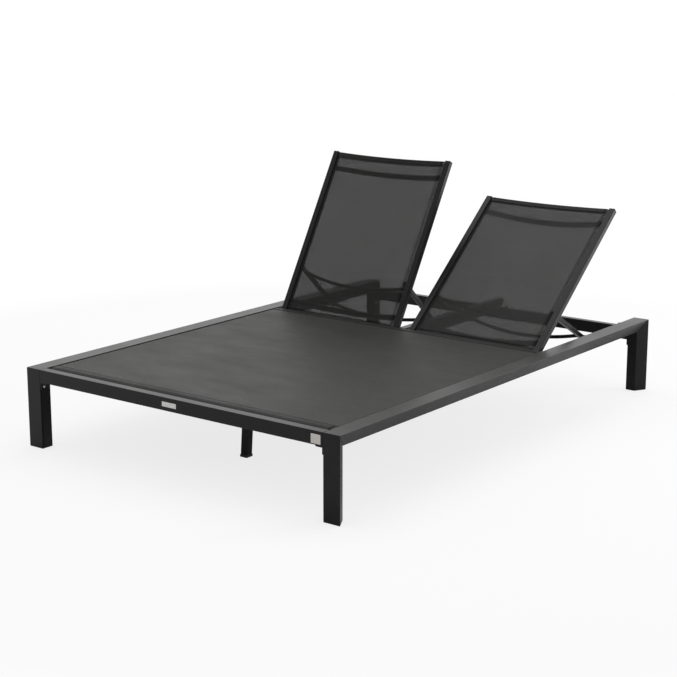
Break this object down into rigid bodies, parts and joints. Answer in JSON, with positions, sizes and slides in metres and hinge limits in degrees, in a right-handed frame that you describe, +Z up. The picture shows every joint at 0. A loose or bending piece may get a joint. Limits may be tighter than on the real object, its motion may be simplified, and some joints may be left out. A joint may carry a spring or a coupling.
{
  "type": "double chaise lounger",
  "caption": "Wide, low outdoor lounger for two: a powder-coated aluminium deck with a mesh sling seat, and two mesh backrests that tilt one by one on struts and notched racks.",
  "frame": {"origin": "on the floor, under the middle of the deck", "axes": "+Z up, +Y along the deck towards the head end, +X to the right as seen from the foot end"},
  "size_m": [1.37, 2, 0.8899],
  "materials": {
    "frame_extrusion": "matte powder coat",
    "backrest_tubes": "matte powder coat",
    "backrest_bars": "matte powder coat",
    "strut_bars": "matte powder coat",
    "centre_leg": "matte powder coat",
    "brackets": "matte powder coat",
    "racks": "matte",
    "seat_sling": "woven mesh",
    "backrest_sling": "woven mesh",
    "plastic_trim": "matte",
    "bushes": "satin",
    "rubber_parts": "matte",
    "fasteners": "satin",
    "spacers": "satin"
  },
  "bodies": {
    "frame": {"bracket_screws": "fasteners", "centre_beam": "frame_extrusion", "centre_beam_plug": "plastic_trim", "centre_leg": "centre_leg", "centre_leg_plate": "brackets", "centre_leg_shoe": "rubber_parts", "front_rail": "frame_extrusion", "hinge_bolts": "fasteners", "hinge_crossbar": "frame_extrusion", "hinge_spacers": "spacers", "left_beam_rack": "racks", "left_front_bracket": "brackets", "left_front_leg": "frame_extrusion", "left_rail_rack": "racks", "left_rear_bracket": "brackets", "left_rear_leg": "frame_extrusion", "left_side_rail": "frame_extrusion", "leg_crossbar": "frame_extrusion", "leg_glides": "plastic_trim", "rack_screws": "fasteners", "rear_buffers": "rubber_parts", "rear_crossbar": "frame_extrusion", "right_beam_rack": "racks", "right_front_bracket": "brackets", "right_front_leg": "frame_extrusion", "right_rail_rack": "racks", "right_rear_bracket": "brackets", "right_rear_leg": "frame_extrusion", "right_side_rail": "frame_extrusion", "seat_sling": "seat_sling"},
    "left_backrest": {"left_backrest_hinge_bushes": "bushes", "left_backrest_inner_tube": "backrest_tubes", "left_backrest_lower_bar": "backrest_bars", "left_backrest_outer_tube": "backrest_tubes", "left_backrest_pivot_bolts": "fasteners", "left_backrest_pivot_washers": "spacers", "left_backrest_sling": "backrest_sling", "left_backrest_spreader_bar": "backrest_bars", "left_backrest_tube_caps": "plastic_trim"},
    "left_strut": {"left_strut_caps": "plastic_trim", "left_strut_foot_bar": "strut_bars", "left_strut_inner_arm": "strut_bars", "left_strut_outer_arm": "strut_bars", "left_strut_stretcher": "strut_bars"},
    "right_backrest": {"right_backrest_hinge_bushes": "bushes", "right_backrest_inner_tube": "backrest_tubes", "right_backrest_lower_bar": "backrest_bars", "right_backrest_outer_tube": "backrest_tubes", "right_backrest_pivot_bolts": "fasteners", "right_backrest_pivot_washers": "spacers", "right_backrest_sling": "backrest_sling", "right_backrest_spreader_bar": "backrest_bars", "right_backrest_tube_caps": "plastic_trim"},
    "right_strut": {"right_strut_caps": "plastic_trim", "right_strut_foot_bar": "strut_bars", "right_strut_inner_arm": "strut_bars", "right_strut_outer_arm": "strut_bars", "right_strut_stretcher": "strut_bars"}
  },
  "joints": [
    {"name": "left_backrest_tilt", "type": "hinge", "parent": "frame", "child": "left_backrest", "pos_m": [0, 0.304, 0.272], "axis": [1, 0, 0], "range_deg": [-60, 4]},
    {"name": "left_strut_swing", "type": "hinge", "parent": "left_backrest", "child": "left_strut", "pos_m": [0, 0.39996, 0.43021], "axis": [1, 0, 0], "range_deg": [-6.73, 100.29]},
    {"name": "right_backrest_tilt", "type": "hinge", "parent": "frame", "child": "right_backrest", "pos_m": [0, 0.304, 0.272], "axis": [1, 0, 0], "range_deg": [-40, 24]},
    {"name": "right_strut_swing", "type": "hinge", "parent": "right_backrest", "child": "right_strut", "pos_m": [0, 0.44829, 0.38785], "axis": [1, 0, 0], "range_deg": [-40.15, 66.88]}
  ],
  "couplings": [
    {"joint": "left_strut_swing", "follows": "left_backrest_tilt", "ratio": -1.6706},
    {"joint": "right_strut_swing", "follows": "right_backrest_tilt", "ratio": -1.6706}
  ]
}
